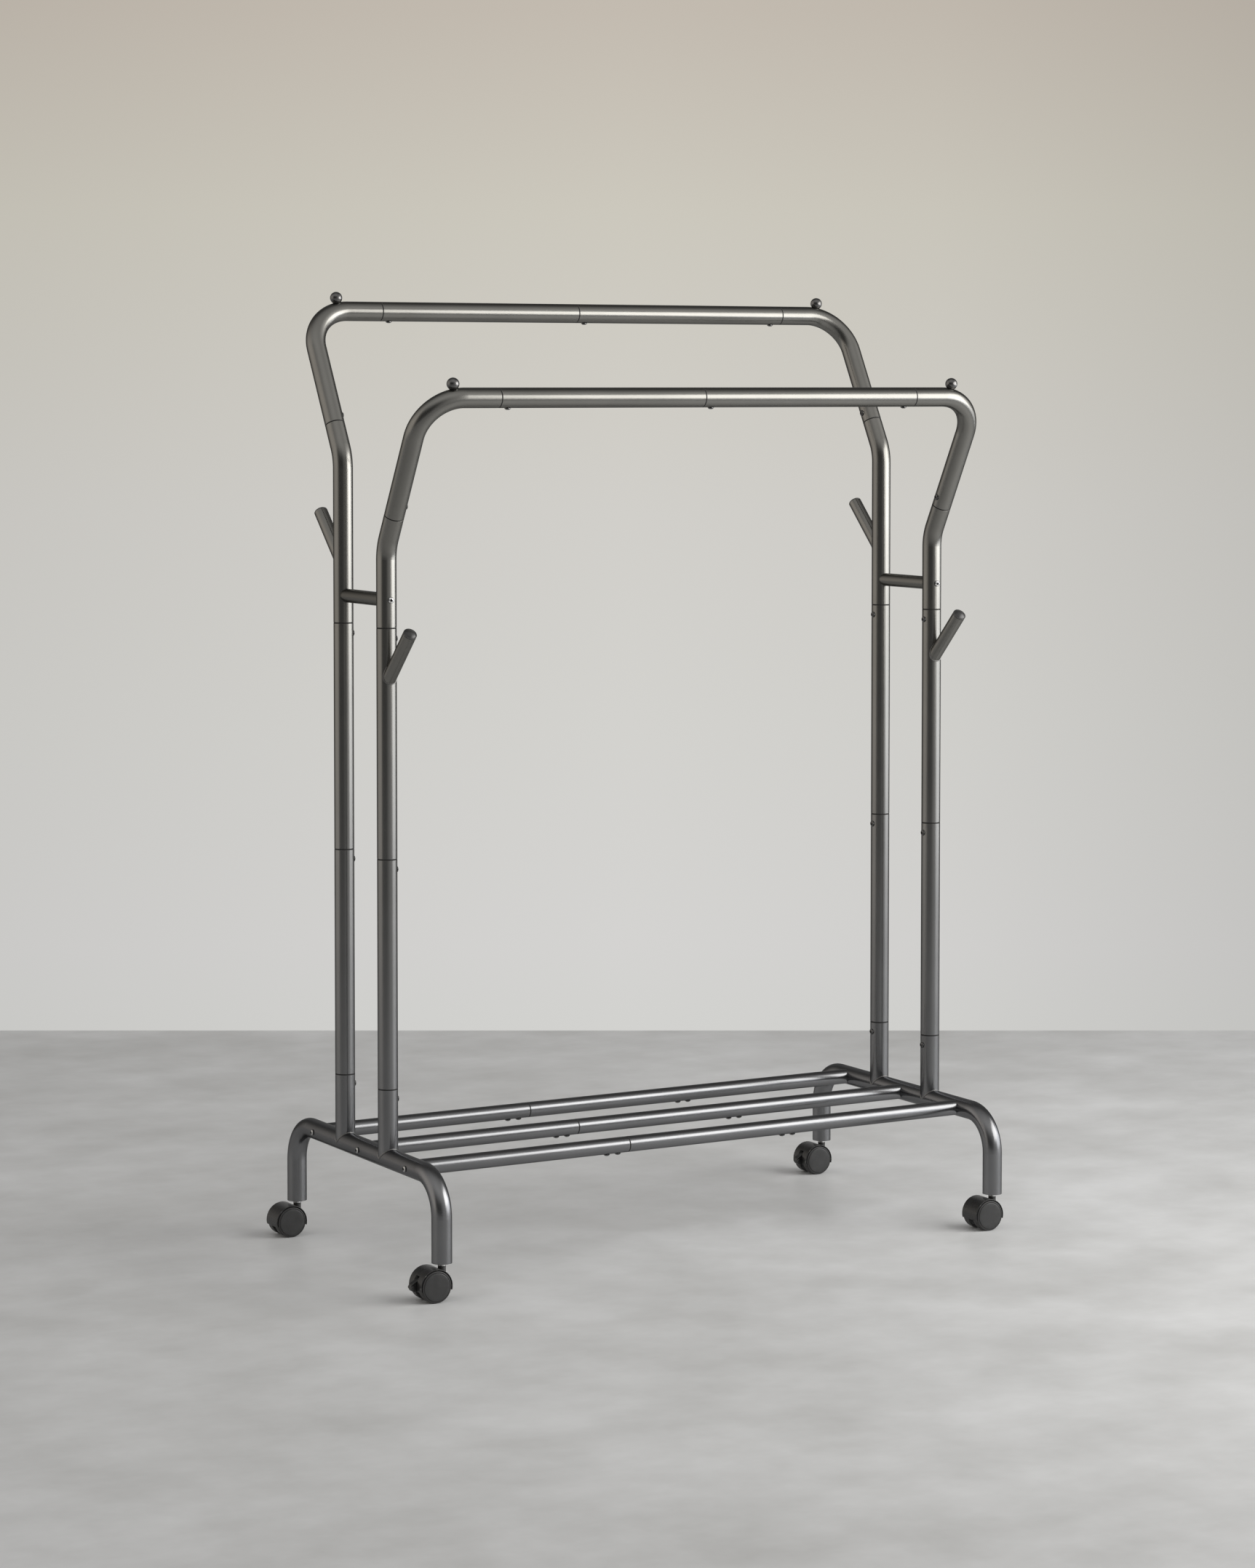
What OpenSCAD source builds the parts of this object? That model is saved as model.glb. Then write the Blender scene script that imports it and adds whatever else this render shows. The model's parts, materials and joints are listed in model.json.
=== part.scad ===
// Rolling clothes rack: two staggered hanger rails on a knock-down frame of screwed
// steel tubes, with a three-bar shoe shelf, four coat pegs and four twin-wheel casters.
// Millimetres. +X runs to the right along the rails, +Y to the back, +Z up.
// The origin is on the floor, at the middle of the object's box.

/* [Frame] */
// Distance between the left and the right post axes
frame_w = 1028; // [900:1:1200]
// Distance between the front and the back post axes
post_spread = 156; // [140:1:180]
// Distance between the front and the back leg axes of a foot
foot_spread = 528; // [500:1:600]
// Distance between the front and the back rail axes
rail_spread = 417; // [400:1:440]
// Height of the back rail's axis
back_rail_z = 1524; // [1500:1:1560]
// How much lower the front rail is than the back rail
rail_step = 140; // [120:1:150]

/* [Frame tube] */
// Outer diameter of the posts, rails and feet
tube_d = 32; // [31:0.5:33]
// Wall of the posts, rails and feet
tube_wall = 1.2; // [1:0.1:1.4]
// How far a narrowed tube end reaches into the next tube
spigot_len = 36; // [30:1:40]
// Visible gap at a tube joint
seam_gap = 0.6; // [0.3:0.1:1]
// Bevel on the edges at a tube joint
seam_bevel = 0.8; // [0.3:0.1:1]
// Distance of a joint screw from the joint
screw_offset = 17; // [14:1:20]

/* [Post sections] */
// Height of the first joint, on top of a foot's stub
first_seam_z = 297; // [280:1:320]
// Length of the lower and of the middle post sections
section_len = 363.5; // [350:0.5:370]
// Angle of a post's top stretch from the vertical
kick_angle = 29; // [26:1:31]
// Bend radius where a post leaves the vertical
kick_bend_r = 70; // [60:1:90]
// Distance of the slanted joint from the kick's corner point
kick_seam = 59; // [50:1:70]
// Bend radius of a top corner
corner_bend_r = 70; // [60:1:90]

/* [Rails] */
// Distance of a corner joint from the frame's mid-plane
rail_seam_x = 385; // [360:1:400]
// Place of the joint between a rail's two halves
rail_mid_seam_x = -18; // [-25:1:-10]
// Diameter of a ball knob
knob_d = 20; // [18:1:22]
// Distance of a ball knob from the end of the frame
knob_inset = 51; // [45:1:60]
// Height of a ball knob's centre over the rail's axis
knob_rise = 21.5; // [20:0.5:23]

/* [Feet] */
// Height of a foot tube's axis
foot_z = 187; // [180:1:200]
// Bend radius of a foot tube
foot_bend_r = 62; // [55:1:70]
// Height of a leg's open end
leg_end_z = 57; // [57:0.5:60]

/* [Shelf] */
// Outer diameter of the shelf bars
bar_d = 25.4; // [24:0.1:26]
// Wall of the shelf bars
bar_wall = 1; // [0.8:0.1:1.1]
// Distance from one shelf bar to the next
bar_pitch = 169; // [150:1:172]
// Place of the joint in a shelf bar
bar_seam_x = -133; // [-150:1:-120]
// Distance from the middle of a shelf bar's sleeve to the inner screw of a pair
sleeve_screw_x = 155; // [140:1:165]
// Distance between the two screws of a pair
pair_pitch = 20; // [16:1:24]
// Offset of a shelf bar's sleeve from the frame's mid-plane
sleeve_mid_x = 5; // [0:1:8]

/* [Crossbars] */
// Height of the crossbars between the posts
crossbar_z = 1068; // [1062:1:1072]
// Outer diameter of the crossbars and of the coat pegs
peg_d = 22; // [20:1:22]

/* [Coat pegs] */
// Distance from a post's axis to the end of a peg's tube, along the peg
peg_len = 116; // [100:1:120]
// Height of a front peg's axis where it meets the post's axis
front_peg_z = 936; // [930:1:940]
// Height of a back peg's axis where it meets the post's axis
back_peg_z = 1116; // [1112:1:1120]

/* [Casters] */
// Diameter of a wheel
wheel_d = 50; // [49:0.5:50]
// Distance of the wheel axle behind the swivel axis
trail = 19; // [18:0.5:20]
// Overall width over both wheel faces
caster_w = 45; // [44:0.5:48]
// Diameter of the swivel stem
stem_d = 8; // [7:0.5:8]
// Diameter of the wheel axle
axle_d = 6; // [5:0.5:6]

/* [Hidden] */
$fn = 64;

LEFT = -1;
RIGHT = 1;
FRONT = -1;
BACK = 1;
over = 1;
// Straight stretches lap over the ends of a bend, and the bend is a hair thinner
lap = 0.5;
hair = 0.02;

// The feet's tight bends narrow the tube's bore
bend_narrowing = 0.3;

// Frame tube and its narrowed ends
tube_r = tube_d / 2;
bore_r = tube_r - tube_wall;
spigot_play = 0.15;
spigot_r = bore_r - spigot_play;
spigot_bore_r = spigot_r - tube_wall;
neck = 3;

// Screws, nuts and their holes
hole_r = 3.2;
shank_r = 3;
head_r = 5;
head_h = 3;
socket_af = 4;
socket_depth = 2;
screw_len = 12;
shelf_screw_len = 9;
nut_r = 5.77;
nut_h = 5;
nut_gap = 0.1;
seat = 0.05;
nut_bore_r = shank_r + seat;

// Plan of the frame
post_x = frame_w / 2;
post_y = post_spread / 2;
leg_y = foot_spread / 2;
rail_y = rail_spread / 2;
second_seam_z = first_seam_z + section_len;
third_seam_z = second_seam_z + section_len;
kick_offset = rail_y - post_y;
slant_len = kick_offset / sin(kick_angle);
kick_tangent = kick_bend_r * tan(kick_angle / 2);

// Shelf and crossbars
bar_r = bar_d / 2;
bar_bore_r = bar_r - bar_wall;
sleeve_play = 0.1;
sleeve_r = bar_bore_r - sleeve_play;
sleeve_bore_r = sleeve_r - bar_wall;
sleeve_margin = 15;
sleeve_half = sleeve_screw_x + pair_pitch + sleeve_margin;
peg_r = peg_d / 2;
peg_bore_r = peg_r - tube_wall;
plug_len = 25;
plug_inset = 0.5;
foot_bolt_len = tube_d + plug_len - head_h;

// Casters
wheel_r = wheel_d / 2;
axle_r = axle_d / 2;
stem_r = stem_d / 2;
running = 0.05;
hood_gap = 0.9;
hood_wall = 1.5;
hood_in_r = wheel_r + hood_gap;
hood_out_r = hood_in_r + hood_wall;
hood_w = caster_w - 3.4;
hood_end_z = wheel_r - 6.5;
web_w = 6;
boss_w = 13;
boss_r = 6.5;
tower_r = 6.3;
tower_z = wheel_r + 5;
tower_top_z = leg_end_z - 4.4;
wheel_in = 7;
disc_r = wheel_r - 3.3;
disc_rise = 1;
wheel_w = caster_w / 2 - wheel_in - disc_rise;
socket_len = 32;
socket_inset = 0.5;
bearing_gap = 0.4;
below = 50;
slot_w = 10.8;
slot_end_x = 13;
slot_drop = 20;
slot_h = 36;
lever_w = 10.2;
lever_tab_w = 14;
lever_pivot_r = 20.5;
lever_pivot_angle = 150;
lever_boss_r = 4;
lever_pin_r = 1.8;
lever_tab_r = 7.5;
lever_tab_reach = 29;
lever_travel_gap = 3;

// The casters all trail to the left, so the frame's mid-plane is off the box's middle.
left_reach = post_x + trail + hood_out_r;
lever_reach = post_x + trail + lever_tab_reach + lever_tab_r;
right_reach = post_x + tube_r + seat + head_h;
mid_x = (max(left_reach, lever_reach) - right_reach) / 2;

// ---------- helpers ----------

function rail_z(row) = row == BACK ? back_rail_z : back_rail_z - rail_step;
function kick_z(row) = rail_z(row) - kick_offset / tan(kick_angle);
function peg_z(row) = row == BACK ? back_peg_z : front_peg_z;

// Children are drawn for the back left quarter and mirrored to the one asked for.
module quarter(side, row) {
    translate([mid_x, 0, 0])
        mirror([side == RIGHT ? 1 : 0, 0, 0])
            mirror([0, row == FRONT ? 1 : 0, 0])
                children();
}

module half(side) {
    quarter(side, BACK) children();
}

module all_quarters() {
    for (side = [LEFT, RIGHT], row = [BACK, FRONT])
        quarter(side, row) children();
}

// Cylinder along +X, starting at the origin.
module along_x(r, len) {
    rotate([0, 90, 0]) cylinder(h = len, r = r);
}

// Cylinder along Y, centred on the origin.
module across_y(r, len) {
    rotate([90, 0, 0]) cylinder(h = len, r = r, center = true);
}

// Quarter-turn or smaller bend that starts upwards and turns towards +Y.
module bend(r, bend_r, angle) {
    translate([0, bend_r, 0])
        rotate([90, 0, -90])
            rotate_extrude(angle = angle, $fn = 180)
                translate([bend_r, 0])
                    circle(r - hair, $fn = 64);
}

module after_bend(bend_r, angle) {
    translate([0, bend_r * (1 - cos(angle)), bend_r * sin(angle)])
        rotate([-angle, 0, 0])
            children();
}

// Ring that bevels a tube's lower edge at the origin and leaves a narrowed end whole.
module bevel_ring(r) {
    difference() {
        translate([0, 0, -over]) cylinder(h = over + seam_bevel, r = r + over);
        translate([0, 0, -over]) cylinder(h = over, r = r - seam_bevel);
        cylinder(h = seam_bevel, r1 = r - seam_bevel, r2 = r);
    }
}

// Narrowed end that reaches down from the origin into the next tube.
module spigot() {
    translate([0, 0, -spigot_len]) cylinder(h = spigot_len + neck, r = spigot_r);
}

module spigot_bore() {
    translate([0, 0, -spigot_len - over])
        cylinder(h = spigot_len + neck + 2 * over, r = spigot_bore_r);
}

// Hole across a tube's near wall, towards +X.
module side_hole(r = hole_r) {
    along_x(r, tube_r + over);
}

// Button-head screw that points down from the origin, with a hex socket.
module screw(len = screw_len) {
    dome_r = 7;
    difference() {
        union() {
            intersection() {
                cylinder(h = head_h, r = head_r);
                translate([0, 0, head_h - dome_r]) sphere(dome_r);
            }
            translate([0, 0, -len]) cylinder(h = len, r = shank_r);
        }
        translate([0, 0, head_h - socket_depth])
            cylinder(h = socket_depth + over, d = socket_af / cos(30), $fn = 6);
    }
}

module nut() {
    difference() {
        cylinder(h = nut_h, r = nut_r, $fn = 6);
        translate([0, 0, -over]) cylinder(h = nut_h + 2 * over, r = nut_bore_r);
    }
}

// Every frame joint's screw place: origin on the tube's axis, +X towards the screw's head.
module post_screw_places() {
    for (z = [first_seam_z, second_seam_z, third_seam_z])
        all_quarters()
            translate([-post_x, post_y, z - screw_offset])
                children();
}

module slant_screw_places() {
    for (side = [LEFT, RIGHT], row = [BACK, FRONT])
        quarter(side, row)
            slanted(row, kick_seam + screw_offset)
                children();
}

module rail_screw_places() {
    for (row = [BACK, FRONT], x = [-rail_seam_x, rail_mid_seam_x, rail_seam_x])
        translate([mid_x + x + (x > 0 ? -screw_offset : screw_offset), row * rail_y, rail_z(row)])
            rotate([0, 90, 0])
                children();
}

module shelf_screw_places() {
    for (bar = [-1:1], end = [-1, 1], step = [0, 1])
        translate([
            mid_x + sleeve_mid_x + end * (sleeve_screw_x + step * pair_pitch),
            bar * bar_pitch,
            foot_z
        ])
            rotate([0, 90, 0])
                children();
}

// Frame on the slanted axis of the back left post, a distance past the kick's corner point.
module slanted(row, distance) {
    translate([-post_x, post_y, kick_z(row)])
        rotate([-kick_angle, 0, 0])
            translate([0, 0, distance])
                children();
}

// ---------- feet ----------

// Outline of a foot tube: up one leg, over and down the other.
module foot_run(r, bend_tube_r, end_over) {
    top = foot_z - foot_bend_r;
    for (row = [FRONT, BACK]) mirror([0, row == BACK ? 1 : 0, 0]) {
        translate([0, -leg_y, leg_end_z - end_over])
            cylinder(h = top - leg_end_z + end_over + lap, r = r);
        translate([0, -leg_y, top])
            bend(bend_tube_r, foot_bend_r, 90);
    }
    translate([0, 0, foot_z])
        across_y(r, foot_spread - 2 * foot_bend_r + 2 * lap);
}

module foot(side) {
    color("#5b5c60")
    half(side) translate([-post_x, 0, 0]) {
        difference() {
            foot_run(tube_r, tube_r, 0);
            foot_run(bore_r, bore_r - bend_narrowing, over);
            for (bar = [-1:1])
                translate([-tube_r - over, bar * bar_pitch, foot_z])
                    along_x(hole_r, tube_d + 2 * over);
        }
        for (row = [FRONT, BACK])
            translate([0, row * post_y, foot_z])
                foot_stub();
    }
}

// Upright stub, coped into the foot tube's wall and open at the top.
module foot_stub() {
    stub_h = first_seam_z - seam_gap / 2 - foot_z;
    difference() {
        cylinder(h = stub_h, r = tube_r - hair);
        translate([0, 0, -over]) cylinder(h = stub_h + 2 * over, r = bore_r);
        across_y(tube_r - tube_wall / 2, tube_d * 2);
        translate([0, 0, stub_h]) mirror([0, 0, 1]) bevel_ring(tube_r);
        translate([0, 0, first_seam_z - screw_offset - foot_z]) side_hole();
    }
}

// ---------- posts ----------

// Straight section with a narrowed lower end and an open top.
module straight_post(side, row, z) {
    low = seam_gap / 2;
    high = section_len - seam_gap / 2;
    color("#5b5c60")
    quarter(side, row) translate([-post_x, post_y, z])
        difference() {
            union() {
                translate([0, 0, low]) cylinder(h = high - low, r = tube_r);
                spigot();
            }
            spigot_bore();
            translate([0, 0, neck]) cylinder(h = section_len, r = bore_r);
            translate([0, 0, low]) bevel_ring(tube_r);
            translate([0, 0, high]) mirror([0, 0, 1]) bevel_ring(tube_r);
            translate([0, 0, -screw_offset]) side_hole();
            translate([0, 0, section_len - screw_offset]) side_hole();
        }
}

// Upper post's run over its lower joint: upwards, through the kick and along the slant.
module kick_run(r, row, low, slant_end) {
    bend_z = kick_z(row) - kick_tangent;
    translate([-post_x, post_y, third_seam_z + low])
        cylinder(h = bend_z - third_seam_z - low + lap, r = r);
    translate([-post_x, post_y, bend_z]) bend(r, kick_bend_r, kick_angle);
    slanted(row, slant_end)
        mirror([0, 0, 1]) cylinder(h = slant_end - kick_tangent + lap, r = r);
}

module at_third_seam() {
    translate([-post_x, post_y, third_seam_z]) children();
}

module upper_post(side, row) {
    low = seam_gap / 2;
    color("#5b5c60")
    quarter(side, row)
        difference() {
            union() {
                kick_run(tube_r, row, low, kick_seam - low);
                at_third_seam() spigot();
                slanted(row, kick_seam) mirror([0, 0, 1]) spigot();
            }
            kick_run(bore_r, row, neck, kick_seam - neck);
            at_third_seam() {
                spigot_bore();
                translate([0, 0, low]) bevel_ring(tube_r);
                translate([0, 0, -screw_offset]) side_hole();
            }
            slanted(row, kick_seam - low) mirror([0, 0, 1]) bevel_ring(tube_r);
            slanted(row, kick_seam) mirror([0, 0, 1]) spigot_bore();
            slanted(row, kick_seam + screw_offset) side_hole();
            translate([-post_x, post_y, crossbar_z])
                rotate([0, 0, 90])
                    translate([-tube_r - over, 0, 0])
                        along_x(hole_r, tube_d + 2 * over);
        }
}

// ---------- top corners and rails ----------

// Corner's run: along the slant, through a right-angle bend and on along the rail's axis.
module corner_run(r, start, row, end_x) {
    slanted(row, start) cylinder(h = slant_len - corner_bend_r - start + lap, r = r);
    at_corner_bend(row) {
        bend(r, corner_bend_r, 90);
        after_bend(corner_bend_r, 90)
            translate([0, 0, -lap])
                cylinder(h = post_x - corner_bend_r + end_x + lap, r = r);
    }
}

// Frame at the start of a corner's bend: +Z up the slant, +Y towards the other side.
module at_corner_bend(row) {
    slanted(row, slant_len - corner_bend_r) rotate([0, 0, -90]) children();
}

module at_corner_seam(row) {
    at_corner_bend(row)
        after_bend(corner_bend_r, 90)
            translate([0, 0, post_x - corner_bend_r - rail_seam_x])
                children();
}

module corner(side, row) {
    color("#5b5c60")
    quarter(side, row)
        difference() {
            union() {
                corner_run(tube_r, kick_seam + seam_gap / 2, row, -rail_seam_x - seam_gap / 2);
                at_corner_seam(row) mirror([0, 0, 1]) spigot();
            }
            corner_run(bore_r, kick_seam - over, row, -rail_seam_x - neck);
            at_corner_seam(row) mirror([0, 0, 1]) {
                spigot_bore();
                translate([0, 0, seam_gap / 2]) bevel_ring(tube_r);
            }
            slanted(row, kick_seam + seam_gap / 2) bevel_ring(tube_r);
            slanted(row, kick_seam + screw_offset) side_hole();
            at_rail_seam(-rail_seam_x + screw_offset, row) side_hole();
            knob_place(row) cylinder(h = tube_d, r = hole_r);
        }
}

// Frame on a rail's axis under a ball knob.
module knob_place(row) {
    translate([-post_x + knob_inset, rail_y, rail_z(row)]) children();
}

// Frame at a place on a rail's axis: +Z along the rail to the right, +X downwards.
module at_rail_seam(x, row) {
    translate([x, rail_y, rail_z(row)])
        rotate([0, 90, 0])
            children();
}

// Half a rail from one joint to the next; the left half's inner end is narrowed.
module rail(side, row) {
    from = side == LEFT ? -rail_seam_x : rail_mid_seam_x;
    to = side == LEFT ? rail_mid_seam_x : rail_seam_x;
    bore_end = side == LEFT ? to - neck : to + over;
    color("#5b5c60")
    quarter(LEFT, row)
        difference() {
            union() {
                translate([from + seam_gap / 2, rail_y, rail_z(row)])
                    along_x(tube_r, to - from - seam_gap);
                if (side == LEFT) at_rail_seam(to, row) mirror([0, 0, 1]) spigot();
            }
            translate([from - over, rail_y, rail_z(row)])
                along_x(bore_r, bore_end - from + over);
            if (side == LEFT) at_rail_seam(to, row) mirror([0, 0, 1]) spigot_bore();
            at_rail_seam(to - seam_gap / 2, row) mirror([0, 0, 1]) bevel_ring(tube_r);
            at_rail_seam(to + (side == LEFT ? screw_offset : -screw_offset), row) side_hole();
            at_rail_seam(from + seam_gap / 2, row) bevel_ring(tube_r);
            at_rail_seam(from + screw_offset, row) side_hole();
        }
}

// Ball on a short screwed stud, seated on the corner's bend.
module ball_knobs() {
    color("#4a4b4e")
    for (side = [LEFT, RIGHT], row = [BACK, FRONT]) quarter(side, row) {
        difference() {
            knob_place(row) translate([0, 0, knob_rise]) sphere(d = knob_d);
            corner_run(tube_r, slant_len - corner_bend_r - over, row, -rail_seam_x);
        }
        knob_place(row)
            translate([0, 0, tube_r - 2 * nut_h]) cylinder(h = 2 * nut_h, r = shank_r);
    }
}

// ---------- shelf ----------

module shelf_bar(side, bar) {
    from = side == LEFT ? -post_x : bar_seam_x + seam_gap / 2;
    to = side == LEFT ? bar_seam_x - seam_gap / 2 : post_x;
    seam_end = side == LEFT ? to : from;
    color("#606166")
    translate([mid_x, bar * bar_pitch, foot_z])
        difference() {
            translate([from, 0, 0]) along_x(bar_r, to - from);
            translate([from - over, 0, 0]) along_x(bar_bore_r, to - from + 2 * over);
            translate([side * post_x, 0, 0]) across_y(tube_r, tube_d * 2);
            translate([seam_end, 0, 0])
                rotate([0, side == LEFT ? -90 : 90, 0])
                    bevel_ring(bar_r);
            for (step = [0, 1]) {
                x = sleeve_mid_x + side * (sleeve_screw_x + step * pair_pitch);
                translate([x, 0, -bar_r - over]) cylinder(h = bar_r + over, r = hole_r);
            }
        }
}

module shelf_sleeves() {
    color("silver")
    for (bar = [-1:1])
        translate([mid_x + sleeve_mid_x, bar * bar_pitch, foot_z])
            difference() {
                translate([-sleeve_half, 0, 0]) along_x(sleeve_r, 2 * sleeve_half);
                translate([-sleeve_half - over, 0, 0])
                    along_x(sleeve_bore_r, 2 * (sleeve_half + over));
                for (end = [-1, 1], step = [0, 1])
                    translate([end * (sleeve_screw_x + step * pair_pitch), 0, -bar_r])
                        cylinder(h = bar_r, r = hole_r);
            }
}

// Threaded plug in the outer end of each shelf bar.
module shelf_end_plugs() {
    color("silver")
    for (side = [LEFT, RIGHT], bar = [-1:1])
        half(side)
            translate([-post_x + tube_r + plug_inset, bar * bar_pitch, foot_z])
                difference() {
                    along_x(bar_bore_r - seat, plug_len);
                    translate([-over, 0, 0]) along_x(nut_bore_r, plug_len + 2 * over);
                }
}

module foot_bolts() {
    color("#2b2b2d")
    for (side = [LEFT, RIGHT], bar = [-1:1])
        half(side)
            translate([-post_x - tube_r - seat, bar * bar_pitch, foot_z])
                rotate([0, -90, 0])
                    screw(foot_bolt_len);
}

// ---------- crossbars and coat pegs ----------

module crossbar(side) {
    color("#5b5c60")
    half(side)
        translate([-post_x, 0, crossbar_z])
            difference() {
                across_y(peg_r, post_spread);
                across_y(peg_bore_r, post_spread + 2 * over);
                for (row = [FRONT, BACK])
                    translate([0, row * post_y, -tube_r]) cylinder(h = tube_d, r = tube_r);
            }
}

module crossbar_plugs() {
    color("silver")
    all_quarters()
        translate([-post_x, post_y - tube_r - plug_inset, crossbar_z])
            rotate([90, 0, 0])
                difference() {
                    cylinder(h = plug_len, r = peg_bore_r - seat);
                    translate([0, 0, -over]) cylinder(h = plug_len + 2 * over, r = nut_bore_r);
                }
}

module crossbar_bolts() {
    color("#d8d8da")
    all_quarters()
        translate([-post_x, post_y + tube_r + seat, crossbar_z])
            rotate([-90, 0, 0])
                screw(foot_bolt_len);
}

// Frame on a peg's axis: +Z outwards along the peg, origin on the post's axis.
module on_peg(side, row) {
    quarter(side, row)
        translate([-post_x, post_y, peg_z(row)])
            rotate([-45, 0, 0])
                children();
}

module coat_pegs() {
    color("#5b5c60")
    for (side = [LEFT, RIGHT], row = [BACK, FRONT])
        difference() {
            on_peg(side, row) cylinder(h = peg_len, r = peg_r);
            on_peg(side, row) cylinder(h = peg_len + over, r = peg_bore_r);
            quarter(side, row)
                translate([-post_x, post_y, peg_z(row) - tube_d])
                    cylinder(h = 3 * tube_d, r = tube_r);
        }
}

// Domed plastic cap, pushed into a peg's open end.
module peg_caps() {
    rim_h = 2;
    dome_h = 4;
    stem_h = 10;
    dome_r = (peg_r * peg_r + dome_h * dome_h) / (2 * dome_h);
    color("#2e2e30")
    for (side = [LEFT, RIGHT], row = [BACK, FRONT])
        on_peg(side, row)
            translate([0, 0, peg_len]) {
                cylinder(h = rim_h, r = peg_r);
                translate([0, 0, rim_h])
                    intersection() {
                        cylinder(h = dome_h, r = peg_r);
                        translate([0, 0, dome_h - dome_r]) sphere(dome_r);
                    }
                translate([0, 0, -stem_h]) cylinder(h = stem_h, r = peg_bore_r - seat);
            }
}

// ---------- screws and nuts ----------

module joint_screws() {
    color("#2b2b2d") {
        post_screw_places() translate([tube_r + seat, 0, 0]) rotate([0, 90, 0]) screw();
        slant_screw_places() translate([tube_r + seat, 0, 0]) rotate([0, 90, 0]) screw();
        rail_screw_places() translate([tube_r + seat, 0, 0]) rotate([0, 90, 0]) screw();
        shelf_screw_places() translate([bar_r + seat, 0, 0]) rotate([0, 90, 0])
            screw(shelf_screw_len);
    }
}

// Nuts welded inside the narrowed ends and the sleeves.
module joint_nuts() {
    frame_face = sqrt(pow(spigot_bore_r, 2) - pow(nut_r, 2)) - nut_gap;
    sleeve_face = sqrt(pow(sleeve_bore_r, 2) - pow(nut_r, 2)) - nut_gap;
    color("silver") {
        post_screw_places() translate([frame_face - nut_h, 0, 0]) rotate([0, 90, 0]) nut();
        slant_screw_places() translate([frame_face - nut_h, 0, 0]) rotate([0, 90, 0]) nut();
        rail_screw_places() translate([frame_face - nut_h, 0, 0]) rotate([0, 90, 0]) nut();
        shelf_screw_places() translate([sleeve_face - nut_h, 0, 0]) rotate([0, 90, 0]) nut();
    }
}

// ---------- casters ----------

// Plug in a leg's open end that holds the stem.
module caster_sockets() {
    color("#2e2e30")
    all_quarters()
        translate([-post_x, leg_y, leg_end_z + socket_inset])
            difference() {
                cylinder(h = socket_len, r = bore_r - seat);
                translate([0, 0, -over]) cylinder(h = socket_len + 2 * over, r = stem_r + seat);
            }
}

// Stem fixed in its socket, with a collar that the leg rests on.
module caster_stems() {
    stem_low_z = tower_z + 2;
    stem_top_z = leg_end_z + socket_len - 4;
    collar_z = tower_top_z + bearing_gap;
    color("silver")
    all_quarters()
        translate([-post_x, leg_y, 0]) {
            translate([0, 0, stem_low_z])
                cylinder(h = stem_top_z - stem_low_z, r = stem_r);
            translate([0, 0, collar_z])
                cylinder(h = leg_end_z + socket_inset - collar_z, r = tower_r);
        }
}

// Swivel frame of a caster: origin on the floor under the stem. All casters trail to the left.
module at_caster(side, row) {
    translate([mid_x + side * post_x, row * leg_y, 0])
        children();
}

module at_axle(side, row) {
    at_caster(side, row)
        translate([-trail, 0, wheel_r])
            children();
}

module at_lever_pivot(side, row) {
    at_axle(side, row)
        translate([
            lever_pivot_r * cos(lever_pivot_angle),
            0,
            lever_pivot_r * sin(lever_pivot_angle)
        ])
            children();
}

// Fairing over both wheels, with the web between them, the axle boss and the stem's tower.
module hood(side, row, braked) {
    color("#262627")
    difference() {
        union() {
            at_axle(side, row) {
                difference() {
                    across_y(hood_out_r, hood_w);
                    across_y(hood_in_r, hood_w + 2 * over);
                }
                across_y(hood_in_r + over / 2, web_w);
            }
            at_caster(side, row)
                translate([0, 0, tower_z]) cylinder(h = tower_top_z - tower_z, r = tower_r);
            if (braked) lever_cheeks(side, row);
        }
        at_axle(side, row)
            translate([-below, -below, hood_end_z - wheel_r - below])
                cube([2 * below, 2 * below, below]);
        if (braked) {
            lever_slot(side, row);
            at_lever_pivot(side, row) across_y(lever_pin_r + running, 2 * wheel_in);
        }
        at_axle(side, row) across_y(axle_r, 2 * wheel_in);
        at_caster(side, row)
            translate([0, 0, tower_z + hood_wall]) cylinder(h = leg_end_z, r = stem_r + running);
    }
    color("#262627")
    at_axle(side, row)
        difference() {
            across_y(boss_r, boss_w);
            across_y(axle_r, boss_w + 2 * over);
            across_y(hood_in_r, web_w);
        }
}

// Two ears inside the fairing that hold the brake lever's pins.
module lever_cheeks(side, row) {
    ear_r = 6.5;
    intersection() {
        at_lever_pivot(side, row) across_y(ear_r, boss_w);
        at_axle(side, row) across_y(hood_in_r + over / 2, boss_w);
    }
}

// Notch in the fairing and in the web that the brake lever swings in.
module lever_slot(side, row) {
    at_axle(side, row)
        translate([-below, -slot_w / 2, -slot_drop])
            cube([below - slot_end_x, slot_w, slot_h]);
}

module axle(side, row) {
    end_gap = 2;
    color("silver")
    at_axle(side, row) across_y(axle_r, 2 * (wheel_in + wheel_w - end_gap));
}

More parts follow.
